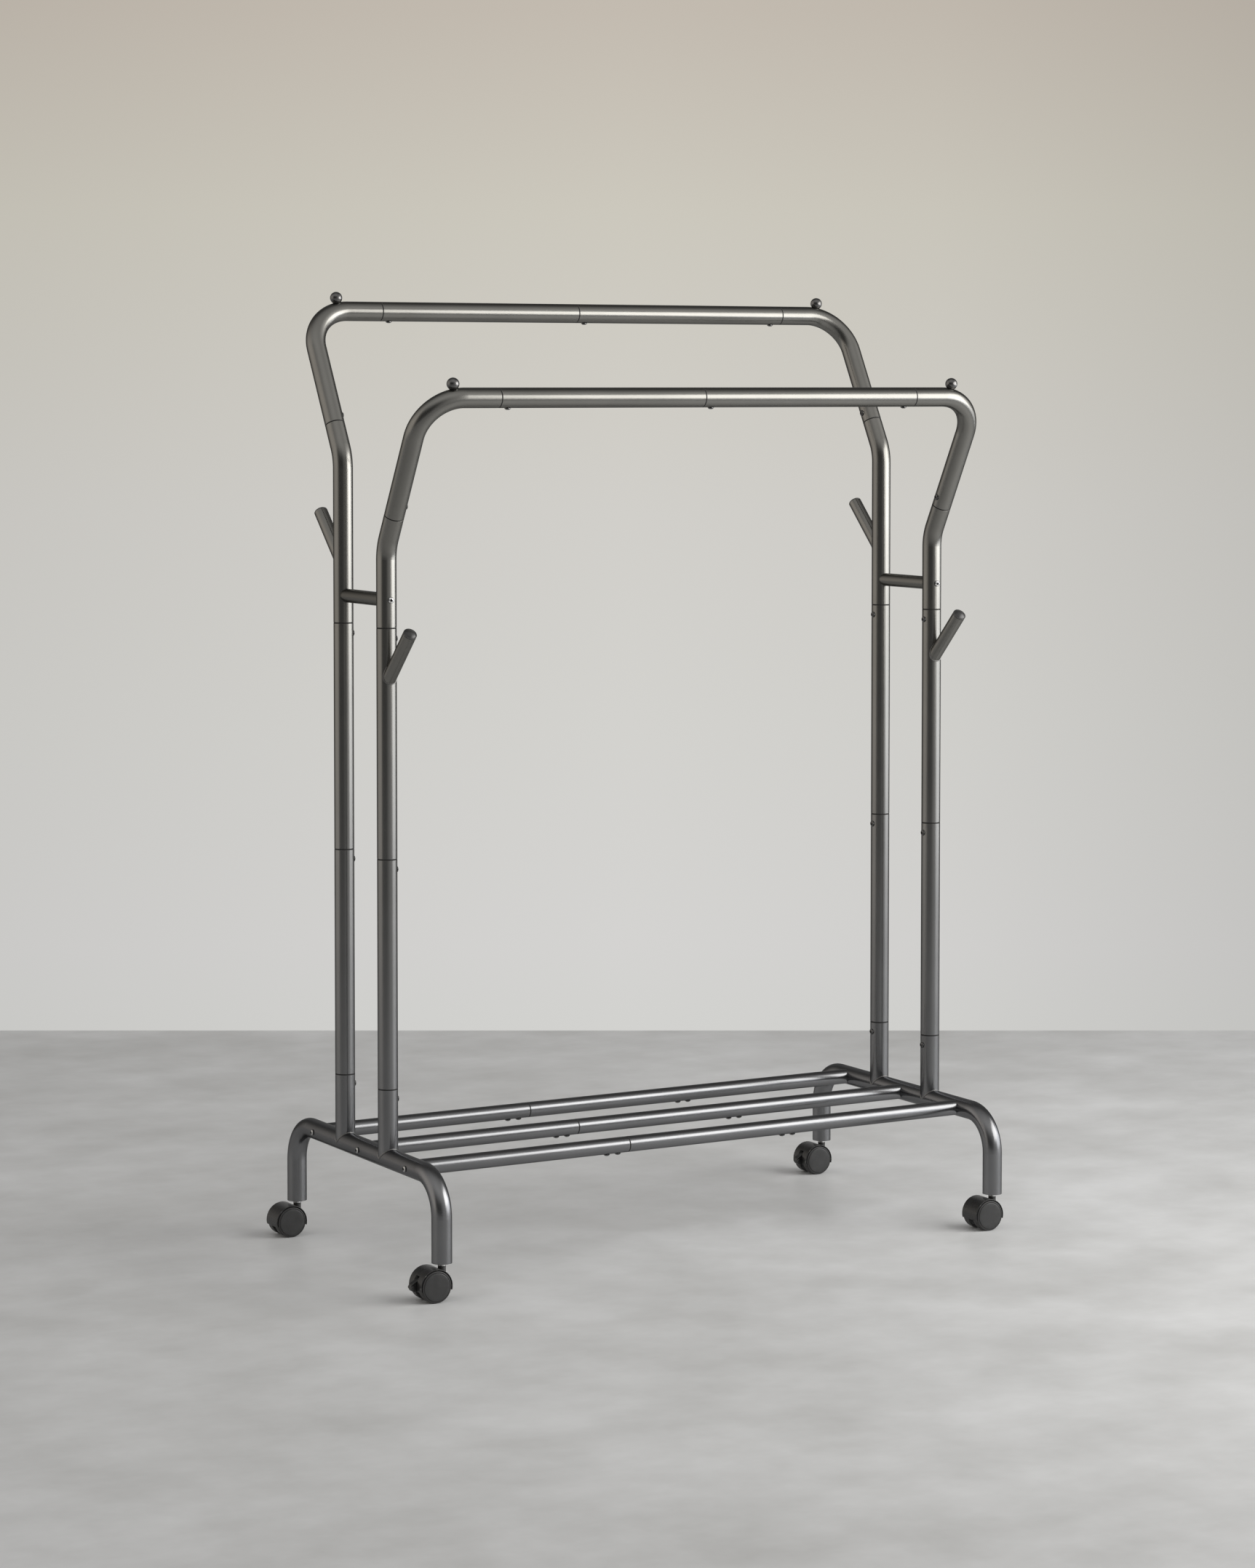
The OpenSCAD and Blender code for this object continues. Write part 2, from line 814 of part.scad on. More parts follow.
// Hollow wheel with a hub, a rounded tread edge and a raised face. end is FRONT or BACK.
module wheel(side, row, end) {
    rim = 2.4;
    face = 2.2;
    hub_r = 5.6;
    hub_floor = 1.5;
    edge = 1.4;
    color("#333335")
    at_axle(side, row)
        rotate([end == FRONT ? 90 : -90, 0, 0])
            translate([0, 0, wheel_in])
                difference() {
                    union() {
                        cylinder(h = wheel_w - edge, r = wheel_r);
                        translate([0, 0, wheel_w - edge])
                            cylinder(h = edge, r1 = wheel_r, r2 = wheel_r - edge);
                        cylinder(h = wheel_w + disc_rise / 2, r = disc_r);
                        translate([0, 0, wheel_w + disc_rise / 2])
                            cylinder(h = disc_rise / 2, r1 = disc_r, r2 = disc_r - disc_rise / 2);
                    }
                    difference() {
                        translate([0, 0, -over]) cylinder(h = wheel_w - face + over, r = wheel_r - rim);
                        translate([0, 0, -2 * over]) cylinder(h = wheel_w + over, r = hub_r);
                    }
                    translate([0, 0, -over])
                        cylinder(h = wheel_w - hub_floor + over, r = axle_r + running);
                }
}

// Foot lever of a brake: pivot pins inside the fairing, a tab outside it.
module brake_lever(side, row) {
    pivot_x = lever_pivot_r * cos(lever_pivot_angle);
    pivot_z = lever_pivot_r * sin(lever_pivot_angle);
    arm = 3.4;
    arm_slope = 2;
    tab_top = 0.89 * lever_tab_r;
    pin_gap = 0.2;
    hub_gap = 1;
    color("#2b2b2c")
    difference() {
        union() {
            at_lever_pivot(side, row) {
                across_y(lever_boss_r, lever_w);
                across_y(lever_pin_r, boss_w - pin_gap);
            }
            at_axle(side, row) {
                translate([-lever_tab_reach, 0, 0]) across_y(lever_tab_r, lever_w);
                rotate([90, 0, 0])
                    translate([0, 0, -lever_w / 2])
                        linear_extrude(lever_w)
                            polygon([
                                [pivot_x + arm, pivot_z - arm_slope],
                                [pivot_x - arm, pivot_z + arm_slope],
                                [-lever_tab_reach - arm, tab_top],
                                [-lever_tab_reach + 2 * arm, -arm]
                            ]);
                difference() {
                    translate([-lever_tab_reach, 0, 0]) across_y(lever_tab_r, lever_tab_w);
                    across_y(hood_out_r + lever_travel_gap, lever_tab_w + 2 * over);
                }
            }
        }
        at_axle(side, row) across_y(lever_pivot_r - lever_boss_r - hub_gap, lever_w + over);
    }
}

// ---------- the assembly ----------

foot(LEFT);  // left_foot
foot(RIGHT);  // right_foot
straight_post(LEFT, BACK, first_seam_z);  // back_left_lower_post
straight_post(RIGHT, BACK, first_seam_z);  // back_right_lower_post
straight_post(LEFT, FRONT, first_seam_z);  // front_left_lower_post
straight_post(RIGHT, FRONT, first_seam_z);  // front_right_lower_post
straight_post(LEFT, BACK, second_seam_z);  // back_left_middle_post
straight_post(RIGHT, BACK, second_seam_z);  // back_right_middle_post
straight_post(LEFT, FRONT, second_seam_z);  // front_left_middle_post
straight_post(RIGHT, FRONT, second_seam_z);  // front_right_middle_post
upper_post(LEFT, BACK);  // back_left_upper_post
upper_post(RIGHT, BACK);  // back_right_upper_post
upper_post(LEFT, FRONT);  // front_left_upper_post
upper_post(RIGHT, FRONT);  // front_right_upper_post
corner(LEFT, BACK);  // back_left_corner
corner(RIGHT, BACK);  // back_right_corner
corner(LEFT, FRONT);  // front_left_corner
corner(RIGHT, FRONT);  // front_right_corner
rail(LEFT, BACK);  // back_rail_left
rail(RIGHT, BACK);  // back_rail_right
rail(LEFT, FRONT);  // front_rail_left
rail(RIGHT, FRONT);  // front_rail_right
crossbar(LEFT);  // left_crossbar
crossbar(RIGHT);  // right_crossbar
coat_pegs();
peg_caps();
ball_knobs();
shelf_bar(LEFT, 1);  // back_shelf_bar_left
shelf_bar(RIGHT, 1);  // back_shelf_bar_right
shelf_bar(LEFT, 0);  // middle_shelf_bar_left
shelf_bar(RIGHT, 0);  // middle_shelf_bar_right
shelf_bar(LEFT, -1);  // front_shelf_bar_left
shelf_bar(RIGHT, -1);  // front_shelf_bar_right
shelf_sleeves();
shelf_end_plugs();
crossbar_plugs();
joint_screws();
joint_nuts();
foot_bolts();
crossbar_bolts();
caster_sockets();
caster_stems();
hood(LEFT, BACK, false);  // back_left_hood
hood(RIGHT, BACK, true);  // back_right_hood
hood(LEFT, FRONT, true);  // front_left_hood
hood(RIGHT, FRONT, false);  // front_right_hood
axle(LEFT, BACK);  // back_left_axle
axle(RIGHT, BACK);  // back_right_axle
axle(LEFT, FRONT);  // front_left_axle
axle(RIGHT, FRONT);  // front_right_axle
wheel(LEFT, BACK, FRONT);  // back_left_front_wheel
wheel(RIGHT, BACK, FRONT);  // back_right_front_wheel
wheel(LEFT, FRONT, FRONT);  // front_left_front_wheel
wheel(RIGHT, FRONT, FRONT);  // front_right_front_wheel
wheel(LEFT, BACK, BACK);  // back_left_back_wheel
wheel(RIGHT, BACK, BACK);  // back_right_back_wheel
wheel(LEFT, FRONT, BACK);  // front_left_back_wheel
wheel(RIGHT, FRONT, BACK);  // front_right_back_wheel
brake_lever(LEFT, FRONT);  // front_left_brake_lever
brake_lever(RIGHT, BACK);  // back_right_brake_lever
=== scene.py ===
"""Looks of the rolling clothes rack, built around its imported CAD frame. Lengths are in metres."""

import json
import math

import bpy
from mathutils import Matrix, Vector


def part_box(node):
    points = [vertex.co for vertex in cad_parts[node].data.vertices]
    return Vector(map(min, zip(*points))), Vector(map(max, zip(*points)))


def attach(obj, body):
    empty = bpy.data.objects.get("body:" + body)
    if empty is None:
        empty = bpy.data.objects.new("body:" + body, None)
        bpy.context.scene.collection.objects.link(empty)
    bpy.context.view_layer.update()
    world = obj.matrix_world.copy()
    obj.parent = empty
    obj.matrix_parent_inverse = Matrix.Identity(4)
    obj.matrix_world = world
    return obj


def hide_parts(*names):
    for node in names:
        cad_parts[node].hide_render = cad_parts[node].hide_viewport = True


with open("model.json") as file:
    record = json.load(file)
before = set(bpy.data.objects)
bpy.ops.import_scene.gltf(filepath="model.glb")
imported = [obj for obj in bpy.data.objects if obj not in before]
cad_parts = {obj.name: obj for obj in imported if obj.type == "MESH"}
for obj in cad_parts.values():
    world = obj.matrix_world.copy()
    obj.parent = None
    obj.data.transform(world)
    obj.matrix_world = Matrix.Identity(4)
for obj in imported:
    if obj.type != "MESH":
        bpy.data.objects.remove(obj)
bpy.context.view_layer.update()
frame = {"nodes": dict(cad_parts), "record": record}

SIDES = ("left", "right")
ROWS = ("front", "back")
ROW_SIGN = {"front": -1.0, "back": 1.0}
MM = 0.001
# Radius of the crossbar bolts' and foot bolts' heads.
HEAD_R = 5.0 * MM

# ---------------------------------------------------------------- camera

# Fitted to the photograph. Angles are in radians, the lens and its centre in the photograph's pixels.
YAW = 0.51789
PITCH = 0.050855
CAMERA_AT = Vector((-3.151712, -5.501558, 1.4046))
IMAGE_W, IMAGE_H = 1725.0, 2156.0
FOCAL_PX = 5303.34
CENTRE_V = 798.62
SENSOR = 36.0

AHEAD = Vector((math.sin(YAW), math.cos(YAW), 0.0))
RIGHTWARD = Vector((math.cos(YAW), -math.sin(YAW), 0.0))


def make_camera():
    data = bpy.data.cameras.new("camera")
    data.sensor_width = SENSOR
    data.lens = FOCAL_PX / IMAGE_H * SENSOR
    data.shift_y = (CENTRE_V - IMAGE_H / 2) / IMAGE_H
    data.clip_start, data.clip_end = 0.1, 100.0
    data.dof.use_dof = False
    camera = bpy.data.objects.new("camera", data)
    camera.location = CAMERA_AT
    look = AHEAD * math.cos(PITCH) - Vector((0, 0, math.sin(PITCH)))
    camera.rotation_euler = look.to_track_quat("-Z", "Y").to_euler()
    bpy.context.scene.collection.objects.link(camera)
    bpy.context.scene.camera = camera


# ---------------------------------------------------------------- node helpers

# Most of a noise lies between these two.
NOISE_LOW, NOISE_HIGH = 0.3, 0.7


def grey(level):
    return level, level, level


class Graph:
    """A node tree, its new nodes and its links."""

    def __init__(self, tree):
        self.tree = tree
        tree.nodes.clear()

    def node(self, kind, inputs=None, **settings):
        made = self.tree.nodes.new(kind)
        for key, value in settings.items():
            setattr(made, key, value)
        for key, value in (inputs or {}).items():
            self.feed(made.inputs[key], value)
        return made

    def feed(self, socket, value):
        if isinstance(value, bpy.types.NodeSocket):
            self.tree.links.new(value, socket)
        else:
            socket.default_value = value

    def math(self, operation, a, b=0.0):
        return self.node("ShaderNodeMath", {0: a, 1: b}, operation=operation).outputs[0]

    def noise(self, coords, scale, detail=3.0, roughness=0.5):
        inputs = {"Vector": coords, "Scale": scale, "Detail": detail, "Roughness": roughness}
        return self.node("ShaderNodeTexNoise", inputs).outputs["Fac"]

    def split(self, coords):
        return self.node("ShaderNodeSeparateXYZ", {"Vector": coords}).outputs

    def stretched(self, coords, factors):
        return self.node("ShaderNodeMapping", {"Vector": coords, "Scale": factors}).outputs[0]

    def ramp(self, value, stops):
        made = self.node("ShaderNodeValToRGB", {"Fac": value})
        elements = made.color_ramp.elements
        while len(elements) < len(stops):
            elements.new(0.5)
        for element, (position, colour) in zip(elements, stops):
            element.position = position
            element.color = (*colour, 1.0)
        return made.outputs["Color"]

    def levels(self, value, low, high, to_low, to_high):
        inputs = {
            "Value": value,
            "From Min": low,
            "From Max": high,
            "To Min": to_low,
            "To Max": to_high,
        }
        return self.node("ShaderNodeMapRange", inputs).outputs["Result"]

    def tones(self, noise, dark, light):
        """Colours from a noise's low parts to its high parts."""
        return self.ramp(noise, [(NOISE_LOW, dark), (NOISE_HIGH, light)])

    def spread(self, noise, low, high):
        """Numbers from a noise's low parts to its high parts."""
        return self.levels(noise, NOISE_LOW, NOISE_HIGH, low, high)

    def mix(self, factor, a, b, blend="MIX"):
        made = self.node("ShaderNodeMix", data_type="RGBA", blend_type=blend)
        for name, value in (("Factor_Float", factor), ("A_Color", a), ("B_Color", b)):
            socket = next(s for s in made.inputs if s.identifier == name)
            self.feed(socket, value if isinstance(value, (float, bpy.types.NodeSocket)) else (*value, 1.0))
        return next(s for s in made.outputs if s.identifier == "Result_Color")

    def bump(self, height, distance, strength):
        inputs = {"Height": height, "Distance": distance, "Strength": strength}
        return self.node("ShaderNodeBump", inputs).outputs[0]


def new_material(name):
    made = bpy.data.materials.new(name)
    made.use_nodes = True
    graph = Graph(made.node_tree)
    shader = graph.node("ShaderNodeBsdfPrincipled")
    output = graph.node("ShaderNodeOutputMaterial")
    graph.feed(output.inputs["Surface"], shader.outputs[0])
    coords = graph.node("ShaderNodeTexCoord").outputs["Object"]
    return made, graph, shader, coords


# ---------------------------------------------------------------- materials

# Stretch factors that draw a pattern out along a tube.
ALONG = {
    "rail": (0.012, 1, 1),
    "bar": (0.012, 1, 1),
    "crossbar": (1, 0.012, 1),
    "post": (1, 1, 0.012),
    "bend": (0.1, 0.1, 0.1),
}
# Painted light: a slight colour cast, cool near the floor and warm on the upper frame, and the heights
# between them.
PAINTED_LIGHT_HEIGHTS = (0.2, 1.0)
LOW_PAINTED_LIGHT = (0.99, 1.0, 1.03)
HIGH_PAINTED_LIGHT = (1.02, 1.0, 0.935)


def gunmetal(name, run):
    """Satin metallic paint on drawn tube: faint lines along the tube, cloudy tone, slight smudges, and
    painted light: a cool cast near the floor and a warm one on the upper frame.
    """
    made, g, shader, coords = new_material(name)
    lines = g.noise(g.stretched(coords, ALONG[run]), 420.0, 1.0)
    cloud = g.noise(coords, 9.0, 3.0)
    smudge = g.noise(coords, 38.0, 4.0, 0.6)
    tone = g.tones(cloud, grey(0.197), grey(0.217))
    streaked = g.mix(g.spread(lines, 0.0, 0.22), tone, grey(0.179))
    # Painted light: the colour is cooled near the floor and warmed on the upper frame, by height.
    painted_light_cast = g.mix(g.levels(g.split(coords)[2], *PAINTED_LIGHT_HEIGHTS, 0.0, 1.0), LOW_PAINTED_LIGHT, HIGH_PAINTED_LIGHT)
    with_painted_light = g.node("ShaderNodeVectorMath", {0: streaked, 1: painted_light_cast}, operation="MULTIPLY").outputs[0]
    g.feed(shader.inputs["Base Color"], with_painted_light)
    shader.inputs["Metallic"].default_value = 1.0
    shader.inputs["Specular Tint"].default_value = (*grey(0.45), 1.0)
    g.feed(shader.inputs["Roughness"], g.levels(smudge, 0.3, 0.75, 0.25, 0.275))
    return made


def metal(name, dark, light, rough):
    """Plated or blackened steel with cloudy tone and fine scratches."""
    made, g, shader, coords = new_material(name)
    cloud = g.noise(coords, 120.0, 3.0)
    scratch = g.noise(g.stretched(coords, (1, 0.08, 1)), 1800.0, 3.0)
    g.feed(shader.inputs["Base Color"], g.tones(cloud, dark, light))
    shader.inputs["Metallic"].default_value = 1.0
    g.feed(shader.inputs["Roughness"], g.spread(scratch, rough - 0.04, rough + 0.06))
    g.feed(shader.inputs["Normal"], g.bump(scratch, 0.00003, 0.3))
    return made


# Radii over which the painted shade in a bolt's socket fades out, and over which the painted shadow round its
# head's outer edge fades in.
SOCKET_SHADE_RADII = (2.1 * MM, 2.5 * MM)
HEAD_SHADOW_RADII = (4.2 * MM, 4.7 * MM)


def bolt_metal(name, dark, light, rough, axes):
    """Plated bolt with painted shade in its socket and a painted shadow ring round its head's outer edge.
    axes gives the distances from a bolt's axis.
    """
    made, g, shader, coords = new_material(name)
    cloud = g.noise(coords, 120.0, 3.0)
    off = [g.math("POWER", distance, 2.0) for distance in axes(g, coords)]
    radius = g.math("SQRT", g.math("ADD", *off))
    # Painted shade: the socket is painted near black, and so is a ring round the head's outer edge as a
    # painted shadow.
    socket = g.levels(radius, *SOCKET_SHADE_RADII, 1.0, 0.0)
    painted_edge = g.levels(radius, *HEAD_SHADOW_RADII, 0.0, 0.85)
    plated = g.tones(cloud, dark, light)
    g.feed(shader.inputs["Base Color"], g.mix(g.math("MAXIMUM", socket, painted_edge), plated, grey(0.02)))
    shader.inputs["Metallic"].default_value = 1.0
    g.feed(shader.inputs["Roughness"], g.spread(cloud, rough - 0.03, rough + 0.05))
    return made


def crossbar_bolt_axes(g, coords):
    x, _, z = g.split(coords)
    low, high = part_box("crossbar_bolts")
    reach = (high.x - low.x) / 2 - HEAD_R
    from_centre = g.math("ABSOLUTE", g.math("SUBTRACT", x, (low.x + high.x) / 2))
    return g.math("SUBTRACT", from_centre, reach), g.math("SUBTRACT", z, (low.z + high.z) / 2)


def foot_bolt_axes(g, coords):
    _, y, z = g.split(coords)
    low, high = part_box("foot_bolts")
    pitch = (high.y - low.y) / 2 - HEAD_R
    return g.math("PINGPONG", y, pitch / 2), g.math("SUBTRACT", z, (low.z + high.z) / 2)


def plastic(name, dark, light, rough, grain_scale):
    """Moulded plastic: fine grain, cloudy tone, a little dust, and sharp edges painted paler as a highlight.
    """
    made, g, shader, coords = new_material(name)
    cloud = g.noise(coords, 70.0, 3.0)
    grain = g.node("ShaderNodeTexVoronoi", {"Vector": coords, "Scale": grain_scale}).outputs["Distance"]
    dust_and_shade_noise = g.noise(coords, 420.0, 4.0, 0.7)
    base = g.tones(cloud, dark, light)
    dusty = g.mix(g.levels(dust_and_shade_noise, 0.58, 0.75, 0.0, 0.2), base, (0.11, 0.108, 0.104))
    # Painted highlight: sharp edges, where Pointiness is high, are painted paler.
    painted_edge = g.levels(g.node("ShaderNodeNewGeometry").outputs["Pointiness"], 0.53, 0.6, 0.0, 0.55)
    g.feed(shader.inputs["Base Color"], g.mix(painted_edge, dusty, (0.2, 0.198, 0.192)))
    shader.inputs["Specular IOR Level"].default_value = 0.5
    g.feed(shader.inputs["Roughness"], g.spread(cloud, rough - 0.04, rough + 0.06))
    g.feed(shader.inputs["Normal"], g.bump(grain, 0.00003, 0.2))
    return made


def painted_groove_shade():
    """Painted shade for the joints' grooves: near black with a faint mottle."""
    made, g, shader, coords = new_material("groove_shade")
    dust_and_shade_noise = g.noise(coords, 300.0, 3.0)
    g.feed(shader.inputs["Base Color"], g.tones(dust_and_shade_noise, grey(0.006), (0.014, 0.013, 0.012)))
    g.feed(shader.inputs["Roughness"], g.spread(dust_and_shade_noise, 0.75, 0.9))
    return made


def weld_metal():
    made, g, shader, coords = new_material("weld")
    pits = g.noise(coords, 900.0, 3.0)
    g.feed(shader.inputs["Base Color"], g.tones(pits, (0.15, 0.147, 0.145), (0.24, 0.235, 0.23)))
    shader.inputs["Metallic"].default_value = 1.0
    g.feed(shader.inputs["Roughness"], g.spread(pits, 0.3, 0.42))
    g.feed(shader.inputs["Normal"], g.bump(pits, 0.0001, 0.4))
    return made


GUNMETAL = {run: gunmetal("gunmetal_" + run, run) for run in ALONG}
METALS = {
    "knob_metal": ((0.13, 0.128, 0.126), (0.17, 0.167, 0.164), 0.24),
    "black_steel": (grey(0.1), (0.14, 0.138, 0.136), 0.22),
    "plain_steel": (grey(0.5), (0.6, 0.6, 0.59), 0.3),
}
PLASTICS = {
    "cap_plastic": (grey(0.028), (0.04, 0.039, 0.038), 0.3, 2600.0),
    "caster_plastic": (grey(0.012), grey(0.018), 0.27, 1700.0),
    "wheel_plastic": (grey(0.028), grey(0.038), 0.34, 1500.0),
}
BRIGHT_STEEL = ((0.84, 0.84, 0.83), (0.93, 0.92, 0.91), 0.2, crossbar_bolt_axes)
MATERIALS = {
    **{name: metal(name, *look) for name, look in METALS.items()},
    **{name: plastic(name, *look) for name, look in PLASTICS.items()},
    "bright_steel": bolt_metal("bright_steel", *BRIGHT_STEEL),
}
FOOT_BOLT = bolt_metal("foot_bolt", grey(0.42), (0.5, 0.498, 0.494), 0.26, foot_bolt_axes)
WELD = weld_metal()
# Near-black painted shade for the rings in the joints' grooves.
GROOVE_SHADE = painted_groove_shade()
TREAD = plastic("wheel_tread", grey(0.016), (0.024, 0.023, 0.023), 0.45, 1500.0)


def tube_run(node):
    """The kind of tube that a painted node is."""
    for word in ("rail", "crossbar", "bar", "post"):
        if word in node:
            return word
    return "bend"


def dress_frame():
    slots = {s["node"]: s["material_slot"] for s in frame["record"]["subparts"]}
    for node, obj in frame["nodes"].items():
        slot = slots[node]
        chosen = GUNMETAL[tube_run(node)] if slot == "gunmetal_paint" else MATERIALS[slot]
        if node == "foot_bolts":
            chosen = FOOT_BOLT
        for material_slot in obj.material_slots:
            material_slot.material = chosen
        for polygon in obj.data.polygons:
            polygon.use_smooth = True


# ---------------------------------------------------------------- pieces

SHARP = math.radians(38)


def add_piece(name, solid, slot, body, material=None, second=None):
    """A mesh object that rides on a body, in its slot's material unless another is given. Faces that
    second names take the piece's second material."""
    mesh = bpy.data.meshes.new(name)
    mesh.from_pydata(solid.points, [], solid.faces)
    mesh.update()
    mesh.materials.append(material or MATERIALS[slot])
    for polygon in mesh.polygons:
        polygon.use_smooth = True
    if second:
        mesh.materials.append(second[0])
        for index in second[1]:
            mesh.polygons[index].material_index = 1
    mesh.set_sharp_from_angle(angle=SHARP)
    made = bpy.data.objects.new(name, mesh)
    bpy.context.scene.collection.objects.link(made)
    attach(made, body)
    return made


def soften(obj, width, segments=3):
    """Rounds a piece's sharp edges."""
    rounded = obj.modifiers.new("rounded", "BEVEL")
    rounded.width = width
    rounded.segments = segments
    rounded.limit_method = "ANGLE"
    rounded.angle_limit = SHARP
    rounded.harden_normals = True
    return obj


class Solid:
    """Points and faces that are gathered into one piece."""

    def __init__(self):
        self.points = []
        self.faces = []

    def add(self, points, faces):
        base = len(self.points)
        self.points += [Vector(p) for p in points]
        self.faces += [tuple(base + i for i in face) for face in faces]

    def moved(self, matrix):
        self.points = [matrix @ p for p in self.points]
        return self

    def lathe(self, profile, matrix, segments=64):
        """Turns (height, radius) points about +Z of the matrix. A radius of 0 closes an end."""
        rings, points, faces = [], [], []
        for height, radius in profile:
            if radius == 0:
                rings.append([len(points)])
                points.append((0, 0, height))
                continue
            rings.append(list(range(len(points), len(points) + segments)))
            for k in range(segments):
                turn = 2 * math.pi * k / segments
                points.append((radius * math.cos(turn), radius * math.sin(turn), height))
        for low, high in zip(rings, rings[1:]):
            for k in range(segments):
                way_round = ((low, k), (low, k + 1), (high, k + 1), (high, k))
                faces.append(tuple(dict.fromkeys(ring[i % len(ring)] for ring, i in way_round)))
        self.add([matrix @ Vector(p) for p in points], faces)
        return faces

    def slab(self, outline, low_y, high_y):
        """Extrudes an (x, z) outline, given clockwise as seen from the front, along Y."""
        count = len(outline)
        points = [(x, y, z) for y in (low_y, high_y) for x, z in outline]
        faces = [tuple(range(count)), tuple(reversed(range(count, 2 * count)))]
        for i in range(count):
            j = (i + 1) % count
            faces.append((i, i + count, j + count, j))
        self.add(points, faces)


def arc(centre, radius, start, stop, steps):
    """(x, z) points on an arc, angles in degrees from +X towards +Z."""
    made = []
    for i in range(steps + 1):
        turn = math.radians(start + (stop - start) * i / steps)
        made.append((centre[0] + radius * math.cos(turn), centre[1] + radius * math.sin(turn)))
    return made


def closed_bead(centres, radius, ring=10):
    """Points and faces of a closed tube along a loop of centres; its thickness ripples like a weld."""
    points, faces = [], []
    count = len(centres)
    for i, centre in enumerate(centres):
        ahead = (centres[(i + 1) % count] - centres[i - 1]).normalized()
        side = ahead.cross(Vector((0.3, 0.2, 0.93))).normalized()
        up = side.cross(ahead)
        thick = radius * (1 + 0.14 * math.sin(i * 2.1))
        for k in range(ring):
            turn = 2 * math.pi * k / ring
            points.append(centre + (side * math.cos(turn) + up * math.sin(turn)) * thick)
    for i in range(count):
        for k in range(ring):
            a, b = i * ring + k, i * ring + (k + 1) % ring
            c, d = (i + 1) % count * ring + (k + 1) % ring, (i + 1) % count * ring + k
            faces.append((a, d, c, b))
    return points, faces


def middle(node):
    low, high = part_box(node)
    return (low + high) / 2


# ---------------------------------------------------------------- casters

WHEEL_SEGMENTS = 112
# From the caster's middle to a wheel's inner side.
WHEEL_INNER = 7.0 * MM
# Rings of a wheel's rim that wear the tread's material.
TREAD_RINGS = 11
# The hood's shell, about the axle.
HOOD_MID_R = 26.65 * MM
HOOD_WALL = 1.5 * MM
HOOD_HALF_W = 20.8 * MM
HOOD_END = -6.5 * MM
WEB_HALF_W = 3.0 * MM
# The slot in the hood that the brake lever swings in.
SLOT_HALF_W = 5.4 * MM
SLOT_TOP = 16.0 * MM
SLOT_X = -13.0 * MM
# From the axle to the swivel's axis.
TRAIL = 19.0 * MM
# The brake lever, (x, z) from the axle: its pivot between two ears, its tab, and the lip at the tab's end.
PIVOT = (-17.75 * MM, 10.25 * MM)
PIVOT_R = 4.0 * MM
EAR_R = 6.2 * MM
EAR_HALF_W = 6.5 * MM
TAB = (-29.0 * MM, 0.0)
TAB_R = 7.45 * MM
LEVER_HALF_W = 5.1 * MM
LIP = ((-33.0 * MM, -1.8 * MM), 2.2 * MM, (-33.2 * MM, -0.4 * MM), 3.0 * MM)
LIP_HALF_W = 7.0 * MM


def along_y(centre, sign):
    """Frame at a centre whose +Z points along Y, forwards for -1 and backwards for +1."""
    turn = Matrix.Rotation(math.radians(-90 * sign), 4, "X")
    return Matrix.Translation(centre) @ turn


def make_wheel(caster, end):
    node = f"{caster}_{end}_wheel"
    axle = middle(f"{caster}_axle")
    sign = ROW_SIGN[end]
    inner = Vector((axle.x, axle.y + sign * WHEEL_INNER, axle.z))
    hollow = [(13.0, 0), (13.0, 3.05), (0.0, 3.05), (0.0, 5.6), (12.0, 5.8), (12.3, 6.4), (12.3, 21.8),
              (12.0, 22.4)]
    rim = [(0.3, 22.6), (0.0, 22.9), (0.0, 24.5), (0.5, 25.0), (12.6, 25.0), (13.3, 24.85), (13.9, 24.45),
           (14.3, 23.95), (14.45, 23.4), (14.4, 22.5), (14.05, 22.25), (14.05, 21.9), (14.4, 21.75),
           (14.8, 21.6), (15.08, 21.25), (15.2, 20.7), (15.34, 17.0), (15.44, 10.0), (15.48, 4.0), (15.5, 0)]
    made = Solid()
    profile = [(h * MM, r * MM) for h, r in hollow + rim]
    faces = made.lathe(profile, along_y(inner, sign), WHEEL_SEGMENTS)
    side_part = range((len(hollow) + TREAD_RINGS) * WHEEL_SEGMENTS, len(faces))
    second = (MATERIALS["wheel_plastic"], side_part)
    piece = add_piece(f"{node}_fine", made, "wheel_plastic", node, TREAD, second)
    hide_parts(node)


def hood_shell(braked):
    """The fairing's middle surface about the axle, open where the brake lever swings."""
    rows = 88
    flank = HOOD_HALF_W * 0.6
    columns = [-HOOD_HALF_W, -flank, -SLOT_HALF_W, 0.0, SLOT_HALF_W, flank, HOOD_HALF_W]
    slot_columns = (2, 3)
    past = math.degrees(math.asin(-HOOD_END / HOOD_MID_R))
    slot_from = 180 - math.degrees(math.asin(SLOT_TOP / HOOD_MID_R))
    angles = [-past + (180 + 2 * past) * i / rows for i in range(rows + 1)]
    nearest = min(range(rows + 1), key=lambda i: abs(angles[i] - slot_from))
    angles[nearest] = slot_from
    points = []
    for angle in angles:
        turn = math.radians(angle)
        points += [(HOOD_MID_R * math.cos(turn), y, HOOD_MID_R * math.sin(turn)) for y in columns]
    width = len(columns)
    faces = []
    for i in range(rows):
        for k in range(width - 1):
            if braked and i >= nearest and k in slot_columns:
                continue
            a = i * width + k
            faces.append((a, a + 1, a + width + 1, a + width))
    used = sorted({i for face in faces for i in face})
    places = {old: new for new, old in enumerate(used)}
    shell = Solid()
    shell.add([points[i] for i in used], [tuple(places[i] for i in face) for face in faces])
    return shell


